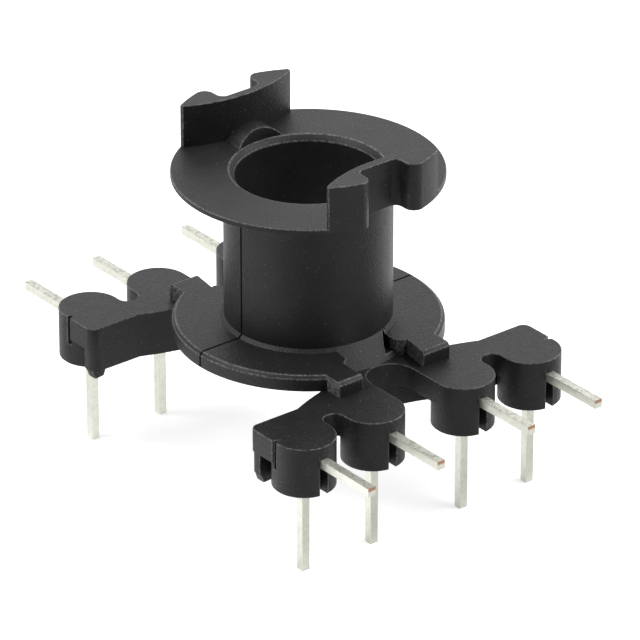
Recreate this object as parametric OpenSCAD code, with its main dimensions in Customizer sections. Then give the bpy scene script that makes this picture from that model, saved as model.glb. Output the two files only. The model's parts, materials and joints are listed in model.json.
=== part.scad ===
// Transformer bobbin: one moulded former with a round winding tube between two
// flanges, two notched lugs on top, two terminal bars below, and eight bent
// square wire terminals. Millimetres, terminal tips on z = 0, tube axis on z.
// The bar at +x is the front one, and the body is the same after half a turn.

/* [Board grid] */
// Step of the board grid
grid_step = 2.54; // [1:0.01:5.08]
// Grid steps from the tube axis to a terminal row
row_steps = 6; // [5:1:9]
// Grid steps from the middle to the two inner terminals of a row
inner_steps = 2; // [2:1:3]
// Grid steps from the middle to the two outer terminals of a row
outer_steps = 5; // [5:1:8]

/* [Terminals] */
// Side of the square terminal wire
wire_side = 0.82; // [0.4:0.02:1.2]
// Middle of the sideways leg above the terminal tips
leg_height = 11.69; // [10:0.01:14]
// From the upright leg's middle to the end of the sideways leg
leg_reach = 9.47; // [4:0.01:14]
// Middle-line radius of the bend in the wire
bend_radius = 0.9; // [0.7:0.05:1.3]

/* [Winding tube] */
// Radius of the bore for the core's centre post
bore_radius = 6.5; // [5:0.05:6.6]
// Wall of the tube
tube_wall = 1; // [0.6:0.05:1.2]
// Chamfer at both ends of the bore
bore_chamfer = 0.5; // [0.2:0.05:0.55]

/* [Flanges] */
// Radius of both flanges
flange_radius = 12.12; // [11:0.01:12.4]
// Thickness of the lower flange and its tabs
lower_flange = 1.45; // [1.1:0.05:1.8]
// Chamfer along the upper edge of the lower flange and of its tabs
rim_chamfer = 0.3; // [0.1:0.05:0.4]
// Height of the cone round the tube's foot, above the lower flange
foot_cone = 0.3; // [0.1:0.05:0.5]
// From the tube axis to the foot of the ramps between the tabs
ramp_reach = 9.4; // [9.35:0.01:9.45]
// Thickness left under the wire lead-in channel beside a ramp
channel_floor = 0.35; // [0.2:0.05:0.6]
// Thickness of the upper flange
upper_flange = 0.45; // [0.4:0.05:1.2]
// Clear winding width between the flanges
winding_width = 13.8; // [8:0.1:20]
// From the tube axis to the straight outer edge of the tabs
tab_reach = 12.2; // [12.15:0.01:12.9]
// Half the length of the pair of tabs on each side
tab_half = 6.2; // [5.5:0.1:7.5]

/* [Space for the core] */
// From the tube axis to the lugs at their middle
lug_waist = 8.65; // [8.2:0.05:8.9]
// Radius of the bulged inner faces of the lugs
lug_bulge = 13; // [10:0.5:18]
// From the tube axis to the bars at their middle, beside the wide gap
bar_waist = 9.2; // [8.8:0.05:9.3]
// Radius of the bulged inner faces of the bars
bar_bulge = 26; // [18:0.5:32]
// From the tube axis to the straight inner faces of the bars
bar_inner = 11.3; // [10.8:0.05:11.8]

/* [Lugs] */
// Height of the lugs above the upper flange
lug_height = 4; // [2:0.1:7]
// Half the length of a lug
lug_half = 6.05; // [4.5:0.05:7]
// Half the width of the wire notch in a lug
notch_half = 2.2; // [1.4:0.05:3]
// From the tube axis to the floor of the wire notch
notch_floor = 9.52; // [9.45:0.02:10.4]
// Radius of the notch's inner corners
notch_corner = 0.7; // [0.3:0.05:1.2]
// Rounding of the lug beside the mouth of the notch
notch_mouth = 0.9; // [0.4:0.05:1.2]
// Half the width of the arched pad at the foot of a lug
pad_half = 2.4; // [1.6:0.05:3]
// Height of the arched pad
pad_height = 1.2; // [0.6:0.05:1.4]
// From the tube axis to the inner end of the arched pad
pad_inner = 7.12; // [7.1:0.02:8]

/* [Terminal bars] */
// Thickness of the bar plates
bar_plate = 2.15; // [1.9:0.05:3]
// How far the ends of the bar plates stand past the outer posts
end_margin = 0.02; // [0:0.01:0.5]
// How far the moulding reaches above the sideways legs
leg_cover = 1.19; // [0.8:0.01:1.6]
// Width of the flat end faces of the bars
bar_end = 3.3; // [2.6:0.05:3.6]
// Rounding of the inner corners of the bar ends
bar_corner = 0.8; // [0.3:0.05:1.1]
// Depth of the slit between an end face and its post
slit_depth = 0.6; // [0.3:0.05:0.9]
// Width of the slit at its mouth
slit_width = 0.45; // [0.2:0.05:0.7]
// Length of the round posts, down from the top of the bar
post_length = 4.75; // [3.8:0.02:6]
// Radius of the round posts
post_radius = 2.83; // [2.4:0.01:3.2]
// How far the posts stand outside the terminal row
post_shift = 0.12; // [0:0.02:0.4]
// How deep the slot under a sideways leg is cut into its post
post_slot = 1.3; // [0.6:0.05:2]
// Chamfer round the underside of the posts
post_chamfer = 0.1; // [0.05:0.01:0.4]
// From the tube axis to the floor of the notches between neighbour posts
finger_floor = 13.85; // [13.2:0.05:14.4]
// From the tube axis to the round end of the wide gap in the middle of a bar
gap_end = 9.5; // [9.4:0.05:10.4]
// Thickness of the rib along the inner edge of a bar
rib_wall = 1.35; // [1.3:0.05:1.8]
// Depth of the rib below the top of the bar
rib_depth = 4.25; // [3.4:0.05:5]
// How far the rib ends stand back from the end faces
rib_setback = 0.15; // [0.05:0.05:0.6]
// How far the feet hang below the rib
foot_drop = 0.85; // [0.4:0.05:1.4]
// Length of a foot where it joins the rib
foot_length = 1.75; // [1.2:0.05:2.6]
// How far a foot stands back from the inner face of its bar
foot_setback = 0.35; // [0.1:0.05:0.6]

/* [Hidden] */
// plan of the opening between the tabs, as shares of the flange radius
opening_shares = [[0.553, -0.206], [0.734, -0.231], [0.776, -0.289], [1.007, -0.297],
    [1.075, -0.299], [1.075, 0.252], [0.936, 0.273], [0.773, 0.297], [0.777, 0.267],
    [0.734, 0.227], [0.669, 0.222], [0.566, 0.236]];
// plan of the wire lead-in channel beside a ramp, as shares of the same radius
channel_shares = [[0.566, 0.236], [0.602, 0.210], [0.670, 0.168], [0.726, 0.141],
    [0.784, 0.107], [0.777, 0.267], [0.734, 0.227], [0.669, 0.222]];
// side of a foot, as shares of its length (from the rib's end) and its drop
foot_shares = [[0.06, 0], [0.24, 1], [0.80, 0.92], [1, 0]];
// how far a cut runs past the face it opens
overrun = leg_height / 20;
// how far joined shapes reach into each other
bite = wire_side / 8;

terminal_x = row_steps * grid_step;
inner_y = inner_steps * grid_step;
outer_y = outer_steps * grid_step;
post_x = terminal_x + post_shift;
bar_half = outer_y + post_radius + end_margin;
tube_radius = bore_radius + tube_wall;
wire_half = wire_side / 2;

// the bar tops carry the lower flange, and the sideways legs run through the posts
bar_top = leg_height + wire_half + leg_cover;
bar_bottom = bar_top - bar_plate;
rib_bottom = bar_top - rib_depth;
post_bottom = bar_top - post_length;
lower_top = bar_top + lower_flange;
upper_bottom = lower_top + winding_width;
upper_top = upper_bottom + upper_flange;
lug_top = upper_top + lug_height;

// the pair of tabs seen along y, chamfered along its two outer edges
tab_top = tab_reach - rim_chamfer;
tab_profile = [[-tab_reach, bar_top], [tab_reach, bar_top],
    [tab_reach, lower_top - rim_chamfer], [tab_top, lower_top],
    [-tab_top, lower_top], [-tab_reach, lower_top - rim_chamfer]];

// clear widths between neighbour posts, and half of the wide middle gap
finger_gap = outer_y - inner_y - 2 * post_radius;
gap_half = inner_y - post_radius;
// radius of the pad's arch from its half width and height
pad_radius = (pad_half * pad_half + pad_height * pad_height) / (2 * pad_height);
// centre of the rounding beside the notch's mouth
mouth_y = notch_half + notch_mouth;
mouth_x = sqrt(pow(flange_radius - notch_mouth, 2) - pow(mouth_y, 2));
mouth_out = flange_radius + overrun;

$fn = 96;

// box between two corners
module box(low, high) {
    translate(low) cube(high - low);
}

// upright cylinder between two heights
module pillar(x, y, radius, low, high) {
    translate([x, y, low]) cylinder(h = high - low, r = radius);
}

// plain slot open towards +x with two rounded inner corners
module slot_cut(floor_x, half, corner, end_x, low, high) {
    box([floor_x + corner, -half, low], [end_x, half, high]);
    box([floor_x, corner - half, low], [floor_x + 2 * corner, half - corner, high]);
    for (side = [-1, 1])
        pillar(floor_x + corner, side * (half - corner), corner, low, high);
}

// plain slot open towards +x with a fully round inner end
module round_slot(floor_x, half, end_x, low, high) {
    pillar(floor_x + half, 0, half, low, high);
    box([floor_x + half, -half, low], [end_x, half, high]);
}

// sliver that rounds the lug corner on the +y side of the notch mouth
module mouth_cut(low, high) {
    difference() {
        translate([0, 0, low])
            linear_extrude(height = high - low)
                polygon([[mouth_x, notch_half - bite], [mouth_out, notch_half - bite],
                    [mouth_out, mouth_y * mouth_out / mouth_x], [mouth_x, mouth_y]]);
        pillar(mouth_x, mouth_y, notch_mouth, low - overrun, high + overrun);
    }
}

// upper flange with both lugs and their arched pads, before the notches
module upper_end() {
    pillar(0, 0, flange_radius, upper_bottom, upper_top);
    for (turn = [0, 180]) rotate([0, 0, turn]) {
        intersection() {
            pillar(0, 0, flange_radius, upper_top - bite, lug_top);
            pillar(lug_waist + lug_bulge, 0, lug_bulge, upper_top - bite, lug_top);
            box([0, -lug_half, upper_top - bite], [flange_radius, lug_half, lug_top]);
        }
        difference() {
            intersection() {
                box([0, -pad_half, upper_top - bite],
                    [lug_waist + bite, pad_half, upper_top + pad_height]);
                translate([0, 0, upper_top + pad_height - pad_radius])
                    rotate([0, 90, 0]) cylinder(h = flange_radius, r = pad_radius);
            }
            pillar(0, 0, pad_inner, upper_top - overrun, lug_top);
        }
    }
}

// wire notch through lug and flange on the +x side
module lug_notch() {
    low = upper_bottom - overrun;
    high = lug_top + overrun;
    slot_cut(notch_floor, notch_half, notch_corner, mouth_out, low, high);
    mouth_cut(low, high);
    mirror([0, 1, 0]) mouth_cut(low, high);
}

// round lower flange with squared tabs, open between the tabs of each side
module lower_plate() {
    difference() {
        union() {
            pillar(0, 0, flange_radius, bar_top, lower_top - rim_chamfer);
            translate([0, 0, lower_top - rim_chamfer])
                cylinder(h = rim_chamfer, r1 = flange_radius,
                    r2 = flange_radius - rim_chamfer);
            rotate([90, 0, 0]) translate([0, 0, -tab_half])
                linear_extrude(height = 2 * tab_half)
                    polygon(tab_profile);
        }
        for (turn = [0, 180]) rotate([0, 0, turn])
            translate([0, 0, bar_top - overrun])
                linear_extrude(height = lower_flange + 2 * overrun)
                    polygon(opening_shares * flange_radius);
    }
}

// cone round the tube's foot, which shows as a ramp in each opening of the lower
// flange and has a lead-in channel for the wire beside each ramp
module foot_ramps() {
    difference() {
        translate([0, 0, bar_top])
            cylinder(h = lower_flange + foot_cone, r1 = ramp_reach, r2 = tube_radius);
        for (turn = [0, 180]) rotate([0, 0, turn])
            translate([0, 0, bar_top + channel_floor])
                linear_extrude(height = lower_flange + foot_cone)
                    polygon(channel_shares * flange_radius);
    }
}

// everything beyond the core's clear space on the +x side, moved outwards
module beyond_core(move, low, high, half) {
    corner = bar_corner - move / 2;
    inner = bar_inner + move;
    box([inner + corner, -half, low], [post_x, half, high]);
    box([inner, corner - half, low], [inner + 2 * corner, half - corner, high]);
    for (side = [-1, 1])
        pillar(inner + corner, side * (half - corner), corner, low, high);
    intersection() {
        union() {
            pillar(bar_waist + bar_bulge, 0, bar_bulge - move, low, high);
            pillar(lug_waist + lug_bulge, 0, lug_bulge - move, low, high);
        }
        box([0, -outer_y, low], [bar_inner + rib_wall + bite, outer_y, high]);
    }
}

// foot under one rib end, seen along x
module foot() {
    rib_end = bar_half - rib_setback;
    translate([bar_inner + rib_wall, 0, 0]) rotate([90, 0, -90])
        linear_extrude(height = rib_wall - foot_setback)
            polygon([for (s = foot_shares)
                [rib_end - foot_length * s[0],
                 rib_bottom - foot_drop * s[1] + (s[1] == 0 ? bite : 0)]]);
}

// bent wire, with its upright leg down to one height and its sideways leg out to a reach
module bent_wire(low, reach) {
    bend_z = leg_height - bend_radius;
    box([-wire_half, -wire_half, low], [wire_half, wire_half, bend_z]);
    translate([bend_radius, 0, bend_z])
        rotate([90, 0, 0]) rotate([0, 0, 90]) rotate_extrude(angle = 90)
            translate([bend_radius - wire_half, -wire_half]) square(wire_side);
    box([bend_radius, -wire_half, leg_height - wire_half],
        [reach, wire_half, leg_height + wire_half]);
}

// seat of a bent wire in its post, and the slot under the sideways leg
module wire_seat(y) {
    post_out = post_x + post_radius;
    low = post_bottom - overrun;
    translate([terminal_x, y, 0]) bent_wire(low, leg_reach);
    box([post_out - post_slot, y - wire_half, low],
        [post_out + overrun, y + wire_half, leg_height - wire_half]);
}

// terminal bar on the +x side
module bar() {
    difference() {
        union() {
            // plate between the core's space and the posts
            intersection() {
                beyond_core(0, bar_bottom, bar_top, bar_half);
                union() {
                    box([0, -outer_y, bar_bottom], [post_x, outer_y, bar_top]);
                    box([0, -bar_half, bar_bottom],
                        [bar_inner + bar_end, bar_half, bar_top]);
                }
            }
            // rib of even thickness along the inner edge
            difference() {
                beyond_core(0, rib_bottom, bar_top, bar_half - rib_setback);
                beyond_core(rib_wall, rib_bottom - overrun, bar_bottom, bar_half);
                box([bar_inner + rib_wall, -bar_half, rib_bottom - overrun],
                    [post_x + overrun, bar_half, bar_top + overrun]);
            }
            foot();
            mirror([0, 1, 0]) foot();
            // round posts
            for (y = [-outer_y, -inner_y, inner_y, outer_y])
                translate([post_x, y, 0]) {
                    translate([0, 0, post_bottom + post_chamfer])
                        cylinder(h = post_length - post_chamfer, r = post_radius);
                    translate([0, 0, post_bottom])
                        cylinder(h = post_chamfer, r1 = post_radius - post_chamfer,
                            r2 = post_radius);
                }
        }
        // slits beside the end faces
        for (side = [0, 1]) mirror([0, side, 0])
            translate([bar_inner + bar_end, bar_half, bar_bottom - overrun])
                linear_extrude(height = bar_plate + 2 * overrun)
                    polygon([[-slit_width / 8, overrun], [-slit_width / 8, 0],
                        [slit_width / 2, -slit_depth], [slit_width, 0],
                        [slit_width, overrun]]);
        // notches between neighbour posts
        for (y = [-1, 1]) translate([0, y * (inner_y + outer_y) / 2, 0])
            round_slot(finger_floor, finger_gap / 2, post_x + overrun,
                bar_bottom - overrun, bar_top + overrun);
        // wide gap for the wires in the middle
        round_slot(gap_end, gap_half, post_x + post_radius,
            rib_bottom - overrun, bar_top + overrun);
        for (y = [-outer_y, -inner_y, inner_y, outer_y]) wire_seat(y);
    }
}

module former_body() {
    color([0.09, 0.09, 0.10])
    difference() {
        union() {
            difference() {
                upper_end();
                for (turn = [0, 180]) rotate([0, 0, turn]) lug_notch();
            }
            lower_plate();
            foot_ramps();
            pillar(0, 0, tube_radius, bar_top, upper_top);
            for (turn = [0, 180]) rotate([0, 0, turn]) bar();
        }
        // bore with a chamfer at each end
        pillar(0, 0, bore_radius, bar_top - overrun, upper_top + overrun);
        translate([0, 0, upper_top - bore_chamfer])
            cylinder(h = bore_chamfer, r1 = bore_radius,
                r2 = bore_radius + bore_chamfer);
        translate([0, 0, bar_top])
            cylinder(h = bore_chamfer, r1 = bore_radius + bore_chamfer,
                r2 = bore_radius);
    }
}

// one bent terminal at the given place along the +x row
module terminal(y) {
    color([0.78, 0.77, 0.74])
    translate([terminal_x, y, 0]) bent_wire(0, leg_reach);
}

module terminal_front_1() terminal(-outer_y);
module terminal_front_2() terminal(-inner_y);
module terminal_front_3() terminal(inner_y);
module terminal_front_4() terminal(outer_y);
module terminal_rear_1() rotate([0, 0, 180]) terminal(outer_y);
module terminal_rear_2() rotate([0, 0, 180]) terminal(inner_y);
module terminal_rear_3() rotate([0, 0, 180]) terminal(-inner_y);
module terminal_rear_4() rotate([0, 0, 180]) terminal(-outer_y);

former_body();
terminal_front_1();
terminal_front_2();
terminal_front_3();
terminal_front_4();
terminal_rear_1();
terminal_rear_2();
terminal_rear_3();
terminal_rear_4();
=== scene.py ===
"""Looks of the moulded transformer bobbin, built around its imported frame. Metres."""
import json
import math

import bmesh
import bpy
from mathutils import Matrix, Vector

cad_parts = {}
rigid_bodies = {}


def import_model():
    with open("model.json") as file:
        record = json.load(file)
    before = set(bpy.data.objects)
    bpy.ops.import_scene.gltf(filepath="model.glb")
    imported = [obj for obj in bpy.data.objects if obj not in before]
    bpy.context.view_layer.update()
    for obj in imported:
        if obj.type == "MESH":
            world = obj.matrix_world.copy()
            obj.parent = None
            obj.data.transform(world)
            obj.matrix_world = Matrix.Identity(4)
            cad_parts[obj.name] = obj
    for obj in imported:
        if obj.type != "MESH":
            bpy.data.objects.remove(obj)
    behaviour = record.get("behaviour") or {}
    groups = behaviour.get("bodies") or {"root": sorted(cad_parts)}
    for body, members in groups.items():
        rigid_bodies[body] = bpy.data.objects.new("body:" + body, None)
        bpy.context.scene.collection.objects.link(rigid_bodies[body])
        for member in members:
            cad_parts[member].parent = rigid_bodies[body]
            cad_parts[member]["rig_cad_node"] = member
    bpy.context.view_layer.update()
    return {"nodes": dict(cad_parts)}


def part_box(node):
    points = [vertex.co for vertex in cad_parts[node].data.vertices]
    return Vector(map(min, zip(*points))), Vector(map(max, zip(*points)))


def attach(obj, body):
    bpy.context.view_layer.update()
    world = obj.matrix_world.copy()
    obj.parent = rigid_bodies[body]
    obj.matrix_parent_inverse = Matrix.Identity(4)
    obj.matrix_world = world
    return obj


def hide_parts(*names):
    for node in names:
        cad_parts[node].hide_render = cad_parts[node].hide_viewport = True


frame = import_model()
bpy.ops.object.select_all(action="DESELECT")
bpy.context.scene.view_settings.view_transform = "Standard"

# The picture is taken from the front left, looking down on the bobbin through a long lens.
# The camera aims at a point near the middle of the tube.
camera_azimuth = math.radians(51.45)
camera_elevation = math.radians(27.55)
camera_distance = 0.56706
camera_aim = Vector((0.0, 0.00131, 0.01357))
camera_lens = 359.2
towards_camera = Vector((
    math.sin(camera_azimuth) * math.cos(camera_elevation),
    -math.cos(camera_azimuth) * math.cos(camera_elevation),
    math.sin(camera_elevation),
))
bpy.ops.object.camera_add(location=camera_aim + towards_camera * camera_distance)
camera = bpy.context.object
camera.rotation_euler = towards_camera.to_track_quat("Z", "Y").to_euler()
camera.data.lens = camera_lens
camera.data.sensor_width = 36.0
camera.data.clip_start = 0.01
camera.data.clip_end = 10.0
bpy.context.scene.camera = camera

# The former is one moulding of black phenolic with a mineral filler: tube, flanges, lugs,
# terminal bars and posts. Its sharp edges are paler, partly as wear and partly as a painted
# highlight, its tabs' sides and the walls of the two openings are paler as painted light, its
# filler shows as specks, and the mould's halves meet down the tube.
edge_width = 0.00009
edge_angle = math.radians(32)
faces_down = -0.5
merge_distance = 0.000001
flat_angle = math.radians(1.0)
smooth_angle = math.radians(35)
tab_side = 0.0062
tab_side_margin = 0.0001
square_on = 0.99
upright = 0.1
opening_half = 0.0038
opening_foot = 0.0134
opening_brim = 0.0146
opening_start = 0.0077
moulding_colour = (0.008, 0.008, 0.009, 1.0)
cloud_colour = (0.015, 0.0145, 0.0145, 1.0)
moulding_roughness = 0.49
moulding_cloud_scale = 420.0
moulding_cloud_edge = 0.35
# The second material is paler: on the sharp edges partly wear and partly a painted highlight, on
# the tabs' sides and the openings' walls painted light.
wear_and_painted_light_colour = (0.13, 0.13, 0.125, 1.0)
less_wear_and_painted_light_colour = (0.03, 0.03, 0.03, 1.0)
wear_and_painted_light_roughness = 0.45
wear_and_painted_light_cloud_scale = 3600.0
wear_and_painted_light_cloud_edge = 0.16
cloud_detail = 5.0
noise_middle = 0.5
grain_scale = 5000.0
grain_detail = 4.0
grain_roughness = 0.30
speck_colour = (0.10, 0.10, 0.095, 1.0)
speck_scale = 3000.0
speck_size_scale = 2200.0
speck_size_span = 0.7
speck_size_start = -0.23
speck_fade = 0.12
speck_share = 0.75
speck_lift = 0.25
bump_strength = 0.8
bump_depth = 0.00006
seam_colour = (0.003, 0.003, 0.003, 1.0)
seam_half = 0.00010
seam_fade_start = 0.75
seam_fade_end = 1.35
seam_share = 0.8
seam_inner_radius = 0.0071
seam_outer_radius = 0.0072
seam_full_height = 0.02850
seam_end_height = 0.02852
shine_level = 0.27
seam_shine = -0.34


def add_node(material, kind, at, **inputs):
    """A shader node at a place in the node editor, with its named input sockets set or linked."""
    node = material.node_tree.nodes.new(kind)
    node.location = at
    for name, value in inputs.items():
        if name[0] == "_":
            socket = node.inputs[int(name[1:])]
        else:
            socket = node.inputs[name.replace("_", " ")]
        if isinstance(value, bpy.types.NodeSocket):
            material.node_tree.links.new(value, socket)
        else:
            socket.default_value = value
    return node


def sum_of(material, operation, at, first, second=0.5, third=0.5, clamp=False):
    """The value of one math node."""
    node = add_node(material, "ShaderNodeMath", at, _0=first, _1=second, _2=third)
    node.operation = operation
    node.use_clamp = clamp
    return node.outputs[0]


def blend_of(material, at, share, first, second):
    """The colour between two colours, by a share."""
    node = material.node_tree.nodes.new("ShaderNodeMix")
    node.data_type = "RGBA"
    node.location = at
    sockets = (node.inputs[0], node.inputs[6], node.inputs[7])
    for socket, value in zip(sockets, (share, first, second)):
        if isinstance(value, bpy.types.NodeSocket):
            material.node_tree.links.new(value, socket)
        else:
            socket.default_value = value
    return node.outputs[2]


def step_of(material, at, value, low, high):
    """A smooth step from 0 at low to 1 at high."""
    node = add_node(material, "ShaderNodeMapRange", at, Value=value)
    node.interpolation_type = "SMOOTHSTEP"
    node.inputs["From Min"].default_value = low
    node.inputs["From Max"].default_value = high
    return node.outputs["Result"]


def phenolic(name, base, cloud, roughness, cloud_scale, cloud_edge):
    """Black phenolic: clouded colour, pale specks of filler, the mould's line, a fine grain."""
    material = bpy.data.materials.new(name)
    material.use_nodes = True
    links = material.node_tree.links
    shader = material.node_tree.nodes["Principled BSDF"]
    place = add_node(material, "ShaderNodeTexCoord", (-1800, 0)).outputs["Object"]
    clouds = add_node(
        material, "ShaderNodeTexNoise", (-1500, 300),
        Vector=place, Scale=cloud_scale, Detail=cloud_detail)
    grain = add_node(
        material, "ShaderNodeTexNoise", (-1500, 0),
        Vector=place, Scale=grain_scale, Detail=grain_detail)
    specks = add_node(
        material, "ShaderNodeTexVoronoi", (-1500, -300), Vector=place, Scale=speck_scale)
    size_of_speck = add_node(
        material, "ShaderNodeTexNoise", (-1500, -600), Vector=place, Scale=speck_size_scale)
    cloudy = step_of(
        material, (-1250, 300), clouds.outputs["Fac"],
        noise_middle - cloud_edge, noise_middle + cloud_edge)
    colour = blend_of(material, (-1000, 300), cloudy, base, cloud)
    reach = sum_of(
        material, "MULTIPLY_ADD", (-1250, -600), size_of_speck.outputs["Fac"],
        speck_size_span, speck_size_start)
    near = sum_of(material, "SUBTRACT", (-1050, -400), reach, specks.outputs["Distance"])
    speck = step_of(material, (-850, -400), near, 0.0, speck_fade)
    speck = sum_of(material, "MULTIPLY", (-650, -400), speck, speck_share)
    colour = blend_of(material, (-450, 200), speck, colour, speck_colour)
    across = add_node(material, "ShaderNodeSeparateXYZ", (-1500, -900), Vector=place)
    from_plane = sum_of(material, "ABSOLUTE", (-1250, -900), across.outputs["X"])
    on_line = step_of(
        material, (-1050, -900), from_plane,
        seam_half * seam_fade_end, seam_half * seam_fade_start)
    flat_place = add_node(material, "ShaderNodeVectorMath", (-1250, -1200), _0=place, _1=(1, 1, 0))
    flat_place.operation = "MULTIPLY"
    from_axis = add_node(material, "ShaderNodeVectorMath", (-1050, -1200), _0=flat_place.outputs[0])
    from_axis.operation = "LENGTH"
    outside = step_of(
        material, (-850, -1200), from_axis.outputs["Value"],
        seam_inner_radius, seam_outer_radius)
    below = step_of(
        material, (-850, -1500), across.outputs["Z"], seam_end_height, seam_full_height)
    seam = sum_of(material, "MULTIPLY", (-650, -900), on_line, outside)
    seam = sum_of(material, "MULTIPLY", (-450, -900), seam, below)
    seam = sum_of(material, "MULTIPLY", (-250, -900), seam, seam_share)
    colour = blend_of(material, (-150, 200), seam, colour, seam_colour)
    links.new(colour, shader.inputs["Base Color"])
    rough = sum_of(
        material, "MULTIPLY_ADD", (-450, 0), grain.outputs["Fac"],
        grain_roughness, roughness - grain_roughness * noise_middle)
    links.new(rough, shader.inputs["Roughness"])
    shine = sum_of(
        material, "MULTIPLY_ADD", (-450, -400), seam, seam_shine, shine_level, clamp=True)
    links.new(shine, shader.inputs["Specular IOR Level"])
    lift = sum_of(
        material, "MULTIPLY_ADD", (-450, -200), speck, speck_lift, grain.outputs["Fac"])
    lift = sum_of(material, "SUBTRACT", (-250, -200), lift, seam)
    bump = add_node(material, "ShaderNodeBump", (-150, -200), Height=lift)
    bump.inputs["Strength"].default_value = bump_strength
    bump.inputs["Distance"].default_value = bump_depth
    links.new(bump.outputs["Normal"], shader.inputs["Normal"])
    return material


former_node = frame["nodes"]["former_body"]
former_node.select_set(True)
bpy.context.view_layer.objects.active = former_node
bpy.ops.object.duplicate()
former = bpy.context.object
former.name = "moulded_former"
del former["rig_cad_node"]
former.data.materials.clear()
former.data.materials.append(phenolic(
    "phenolic_moulding", moulding_colour, cloud_colour,
    moulding_roughness, moulding_cloud_scale, moulding_cloud_edge))
former.data.materials.append(phenolic(
    "worn_edge_and_painted_light", wear_and_painted_light_colour, less_wear_and_painted_light_colour,
    wear_and_painted_light_roughness, wear_and_painted_light_cloud_scale, wear_and_painted_light_cloud_edge))
bpy.ops.mesh.customdata_custom_splitnormals_clear()
bpy.ops.object.mode_set(mode="EDIT")
bpy.ops.mesh.select_all(action="SELECT")
bpy.ops.mesh.remove_doubles(threshold=merge_distance)
bpy.ops.mesh.dissolve_limited(angle_limit=flat_angle)
bpy.ops.mesh.select_all(action="DESELECT")
bpy.ops.mesh.select_mode(type="EDGE")
edges = bmesh.from_edit_mesh(former.data)
for edge in edges.edges:
    lowest = min((face.normal.z for face in edge.link_faces), default=-1.0)
    sharp = edge.is_manifold and edge.calc_face_angle_signed(0.0) > edge_angle
    edge.select_set(sharp and lowest > faces_down)
bmesh.update_edit_mesh(former.data)
# The bevelled edges take the paler second material: partly wear, partly a painted highlight.
bpy.ops.mesh.bevel(
    offset=edge_width, segments=2, profile=0.5, affect="EDGES", clamp_overlap=False, material=1)
bpy.ops.mesh.select_all(action="SELECT")
bpy.ops.mesh.remove_doubles(threshold=merge_distance)
# Painted light: the tabs' flat sides and the upright walls of the two openings take the paler
# second material, so that they show brighter.
sides = bmesh.from_edit_mesh(former.data)
for face in sides.faces:
    middle = face.calc_center_median()
    on_tab = (
        abs(face.normal.y) > square_on
        and abs(abs(middle.y) - tab_side) < tab_side_margin)
    in_opening = (
        abs(face.normal.z) < upright
        and abs(middle.x) > opening_start
        and abs(middle.y) < opening_half
        and opening_foot < middle.z < opening_brim)
    if on_tab or in_opening:
        face.material_index = 1
bmesh.update_edit_mesh(former.data)
bpy.ops.object.mode_set(mode="OBJECT")
bpy.ops.object.shade_smooth_by_angle(angle=smooth_angle)
former.modifiers.new("even_shading", "WEIGHTED_NORMAL").keep_sharp = True
bpy.ops.object.modifier_apply(modifier="even_shading")
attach(former, "root")
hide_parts("former_body")
former.select_set(False)

# Each terminal is square copper wire with a tinned skin, pushed up into its post and bent
# out sideways. The sideways leg is rougher and more flecked on top, and its top is darkened
# evenly as painted shade. Its cropped end shows the copper along the upper edge.
wire_corner = 0.00005
bend_radius = 0.0009
bend_steps = 12
wire_edge_angle = math.radians(60)
tin_colour = (0.68, 0.68, 0.61, 1.0)
dull_tin_colour = (0.56, 0.56, 0.49, 1.0)
tin_cloud_scale = 1500.0
tin_cloud_detail = 4.0
tin_grain_scale = 4000.0
tin_grain_detail = 3.0
tin_metallic = 0.90
tin_roughness = 0.20
tin_top_roughness = 0.15
tin_cloud_roughness = 0.30
tin_bump_strength = 0.6
tin_bump_depth = 0.00002
# The fleck colour serves the real flecks and also the painted shade on the leg's top.
fleck_and_painted_shade_colour = (0.30, 0.30, 0.27, 1.0)
fleck_start = 0.45
fleck_full = 0.65
side_flecks = 0.15
more_top_flecks = 0.45
top_painted_shade = 0.33
top_depth = 0.00007
top_full_depth = 0.00003
copper_colour = (0.36, 0.20, 0.13, 1.0)
copper_band = 0.00030
copper_fade = 0.00009
end_depth = 0.00006
end_full_depth = 0.00003

tinned = bpy.data.materials.new("tinned_wire")
tinned.use_nodes = True
tin_shader = tinned.node_tree.nodes["Principled BSDF"]
tin_place = add_node(tinned, "ShaderNodeTexCoord", (-1500, 0)).outputs["Object"]
tin_clouds = add_node(
    tinned, "ShaderNodeTexNoise", (-1200, 200),
    Vector=tin_place, Scale=tin_cloud_scale, Detail=tin_cloud_detail)
tin_grain = add_node(
    tinned, "ShaderNodeTexNoise", (-1200, -100),
    Vector=tin_place, Scale=tin_grain_scale, Detail=tin_grain_detail)
tin_blend = blend_of(tinned, (-800, 200), tin_clouds.outputs["Fac"], tin_colour, dull_tin_colour)
leg_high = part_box("terminal_front_1")[1]
tin_xyz = add_node(tinned, "ShaderNodeSeparateXYZ", (-1200, -400), Vector=tin_place)
end_reach = sum_of(tinned, "ABSOLUTE", (-1000, -400), tin_xyz.outputs["X"])
at_end = step_of(
    tinned, (-800, -400), end_reach,
    leg_high.x - end_depth, leg_high.x - end_full_depth)
copper_low = leg_high.z - copper_band
at_top = step_of(
    tinned, (-800, -700), tin_xyz.outputs["Z"],
    copper_low - copper_fade, copper_low + copper_fade)
on_top = step_of(
    tinned, (-800, -1000), tin_xyz.outputs["Z"],
    leg_high.z - top_depth, leg_high.z - top_full_depth)
tin_flecks_and_painted_shade = step_of(
    tinned, (-1000, -100), tin_grain.outputs["Fac"], fleck_start, fleck_full)
fleck_share = sum_of(
    tinned, "MULTIPLY_ADD", (-600, -1000), on_top, more_top_flecks, side_flecks)
tin_flecks_and_painted_shade = sum_of(tinned, "MULTIPLY", (-400, -1000), tin_flecks_and_painted_shade, fleck_share)
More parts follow.
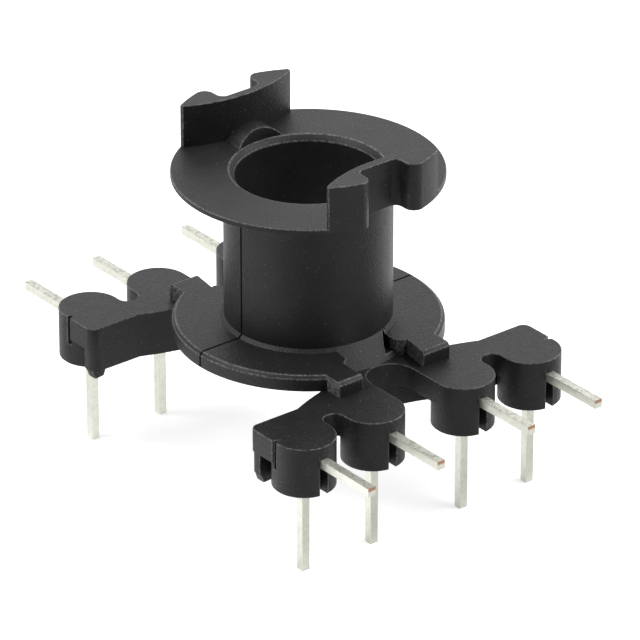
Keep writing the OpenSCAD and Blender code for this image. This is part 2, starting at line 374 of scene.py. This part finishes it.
# Painted shade: the top of the sideways leg is darkened evenly towards the fleck colour.
tin_flecks_and_painted_shade = sum_of(
    tinned, "MULTIPLY_ADD", (-200, -1000), on_top, top_painted_shade, tin_flecks_and_painted_shade)
tin_blend = blend_of(tinned, (-600, 200), tin_flecks_and_painted_shade, tin_blend, fleck_and_painted_shade_colour)
bare = sum_of(tinned, "MULTIPLY", (-600, -400), at_end, at_top)
tin_blend = blend_of(tinned, (-400, 200), bare, tin_blend, copper_colour)
links = tinned.node_tree.links
links.new(tin_blend, tin_shader.inputs["Base Color"])
tin_rough = sum_of(
    tinned, "MULTIPLY_ADD", (-600, 0), on_top, tin_top_roughness, tin_roughness)
tin_rough = sum_of(
    tinned, "MULTIPLY_ADD", (-400, 0), tin_clouds.outputs["Fac"],
    tin_cloud_roughness, tin_rough)
links.new(tin_rough, tin_shader.inputs["Roughness"])
tin_shader.inputs["Metallic"].default_value = tin_metallic
tin_bump = add_node(tinned, "ShaderNodeBump", (-200, -200), Height=tin_grain.outputs["Fac"])
tin_bump.inputs["Strength"].default_value = tin_bump_strength
tin_bump.inputs["Distance"].default_value = tin_bump_depth
links.new(tin_bump.outputs["Normal"], tin_shader.inputs["Normal"])

for row in ("front", "rear"):
    for count in (1, 2, 3, 4):
        node_name = f"terminal_{row}_{count}"
        low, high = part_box(node_name)
        outward = 1 if row == "front" else -1
        side = high.y - low.y
        middle_y = (high.y + low.y) / 2
        inner_x = low.x if outward > 0 else high.x
        outer_x = high.x if outward > 0 else low.x
        middle_x = inner_x + outward * side / 2
        bend_z = high.z - side / 2 - bend_radius
        bpy.ops.mesh.primitive_plane_add(size=side, location=(middle_x, middle_y, low.z))
        wire = bpy.context.object
        wire.name = f"tinned_{node_name}"
        bpy.ops.object.transform_apply(location=True)
        bpy.ops.object.mode_set(mode="EDIT")
        bpy.ops.mesh.select_all(action="SELECT")
        bpy.ops.mesh.extrude_region_move(
            TRANSFORM_OT_translate={"value": (0, 0, bend_z - low.z)})
        bpy.ops.mesh.spin(
            steps=bend_steps, angle=math.radians(90), axis=(0, -outward, 0),
            center=(middle_x + outward * bend_radius, middle_y, bend_z),
        )
        bpy.ops.mesh.extrude_region_move(
            TRANSFORM_OT_translate={"value": (outer_x - middle_x - outward * bend_radius, 0, 0)})
        bpy.ops.mesh.select_all(action="SELECT")
        bpy.ops.mesh.remove_doubles(threshold=merge_distance)
        bpy.ops.mesh.normals_make_consistent(inside=False)
        bpy.ops.mesh.select_all(action="DESELECT")
        bpy.ops.mesh.select_mode(type="EDGE")
        edges = bmesh.from_edit_mesh(wire.data)
        for edge in edges.edges:
            sharp = edge.is_manifold and edge.calc_face_angle_signed(0.0) > wire_edge_angle
            edge.select_set(sharp)
        bmesh.update_edit_mesh(wire.data)
        bpy.ops.mesh.bevel(
            offset=wire_corner, segments=2, profile=0.5, affect="EDGES", clamp_overlap=True)
        bpy.ops.object.mode_set(mode="OBJECT")
        bpy.ops.object.shade_smooth_by_angle(angle=smooth_angle)
        wire.modifiers.new("even_shading", "WEIGHTED_NORMAL").keep_sharp = True
        bpy.ops.object.modifier_apply(modifier="even_shading")
        wire.data.materials.append(tinned)
        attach(wire, "root")
        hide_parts(node_name)
        wire.select_set(False)

# The stage is a plain pale floor under the terminal tips and a white surround. The camera
# sees both white. For reflections alone the floor glows as a painted reflection, brightest
# under the tube, darkest in front and dimmer at the rear, and the floor keeps the bobbin's soft
# shadow.
floor_size = 3.0
floor_colour = (0.80, 0.80, 0.80, 1.0)
floor_roughness = 0.9
floor_glow = 0.58
far_floor_glow = 0.70
glow_rise_start = 0.05
glow_rise_end = 0.50
front_shine = 0.12
more_middle_shine = 0.87
front_fade_start = 0.008
front_fade_end = 0.022
rear_shine_loss = -0.54
rear_fade_start = -0.010
rear_fade_end = -0.026
surround_level = 0.40
bpy.ops.mesh.primitive_plane_add(size=floor_size, location=(0, 0, 0))
floor = bpy.context.object
floor.name = "floor"
floor_paint = bpy.data.materials.new("floor_paint")
floor_paint.use_nodes = True
floor_shader = floor_paint.node_tree.nodes["Principled BSDF"]
floor_shader.inputs["Base Color"].default_value = floor_colour
floor_shader.inputs["Roughness"].default_value = floor_roughness
floor_shader.inputs["Specular IOR Level"].default_value = 0.0
floor_shader.inputs["Emission Color"].default_value = (1, 1, 1, 1)
floor_rays = add_node(floor_paint, "ShaderNodeLightPath", (-600, 0))
floor_place = add_node(floor_paint, "ShaderNodeTexCoord", (-1000, -300)).outputs["Object"]
floor_across = add_node(floor_paint, "ShaderNodeSeparateXYZ", (-800, -300), Vector=floor_place)
# Painted reflection: the floor's glow for reflections alone is strong under the tube, weak in front
# and less at the rear.
behind_front = step_of(
    floor_paint, (-600, -300), floor_across.outputs["X"], front_fade_end, front_fade_start)
at_rear = step_of(
    floor_paint, (-600, -600), floor_across.outputs["X"], rear_fade_start, rear_fade_end)
floor_shine = sum_of(
    floor_paint, "MULTIPLY_ADD", (-500, -300), behind_front, more_middle_shine, front_shine)
floor_shine = sum_of(
    floor_paint, "MULTIPLY_ADD", (-400, -600), at_rear, rear_shine_loss, floor_shine)
floor_shine = sum_of(
    floor_paint, "MULTIPLY", (-400, -300), floor_rays.outputs["Is Glossy Ray"], floor_shine)
floor_away = add_node(floor_paint, "ShaderNodeVectorMath", (-800, -900), _0=floor_place)
floor_away.operation = "LENGTH"
floor_edge = step_of(
    floor_paint, (-600, -900), floor_away.outputs["Value"], glow_rise_start, glow_rise_end)
floor_level = sum_of(
    floor_paint, "MULTIPLY_ADD", (-400, -900), floor_edge,
    far_floor_glow - floor_glow, floor_glow)
floor_seen = sum_of(
    floor_paint, "MAXIMUM", (-500, 0),
    floor_rays.outputs["Is Camera Ray"], floor_rays.outputs["Is Transmission Ray"])
floor_seen = sum_of(floor_paint, "MULTIPLY", (-400, 0), floor_seen, floor_level)
floor_seen = sum_of(floor_paint, "MAXIMUM", (-300, 0), floor_seen, floor_shine)
floor_paint.node_tree.links.new(floor_seen, floor_shader.inputs["Emission Strength"])
floor.data.materials.append(floor_paint)

world = bpy.data.worlds.new("white_surround")
bpy.context.scene.world = world
world.use_nodes = True
surround = world.node_tree.nodes["Background"]
surround.inputs["Color"].default_value = (1, 1, 1, 1)
world_rays = add_node(world, "ShaderNodeLightPath", (-800, 0))
world_seen = sum_of(
    world, "MAXIMUM", (-600, 0),
    world_rays.outputs["Is Camera Ray"], world_rays.outputs["Is Glossy Ray"])
world_seen = sum_of(
    world, "MAXIMUM", (-500, 0), world_seen, world_rays.outputs["Is Transmission Ray"])
world_level = sum_of(
    world, "MULTIPLY_ADD", (-400, 0), world_seen, 1.0 - surround_level, surround_level)
world.node_tree.links.new(world_level, surround.inputs["Strength"])

# A black card stands behind the camera. It is there for the reflections alone, and darkens
# the faces that look at the camera as a dark room would.
card_size = 1.5
card_reach = 0.80
card_height = 0.45
card_colour = (0.01, 0.01, 0.01, 1.0)
card_side = Vector((towards_camera.x, towards_camera.y, 0.0)).normalized()
bpy.ops.mesh.primitive_plane_add(
    size=card_size, location=card_side * card_reach + Vector((0, 0, card_height)),
    rotation=card_side.to_track_quat("Z", "Y").to_euler())
card = bpy.context.object
card.name = "dark_card"
bpy.ops.object.transform_apply(location=True, rotation=True)
card_paint = bpy.data.materials.new("card_paint")
card_paint.use_nodes = True
card_shader = card_paint.node_tree.nodes["Principled BSDF"]
card_shader.inputs["Base Color"].default_value = card_colour
card_shader.inputs["Roughness"].default_value = 1.0
card_shader.inputs["Specular IOR Level"].default_value = 0.0
card.data.materials.append(card_paint)
card.visible_camera = False
card.visible_shadow = False

# Three soft boxes light the bobbin from above. Seen from the camera, the key is on the left,
# one is on the right, and the widest and weakest is behind the bobbin.
lamp_reach = 0.5
for lamp_name, lamp_side, lamp_size, lamp_power in (
    ("key_lamp", Vector((-0.30, -0.55, 0.78)), 0.30, 1.7),
    ("rear_lamp", Vector((0.46, 0.55, 0.69)), 0.40, 1.9),
    ("back_lamp", Vector((-0.55, 0.58, 0.60)), 0.60, 0.8),
):
    lamp_side.normalize()
    bpy.ops.object.light_add(type="AREA", location=camera_aim + lamp_side * lamp_reach)
    lamp = bpy.context.object
    lamp.name = lamp_name
    lamp.rotation_euler = lamp_side.to_track_quat("Z", "Y").to_euler()
    lamp.data.size = lamp_size
    lamp.data.energy = lamp_power
    lamp.visible_camera = False
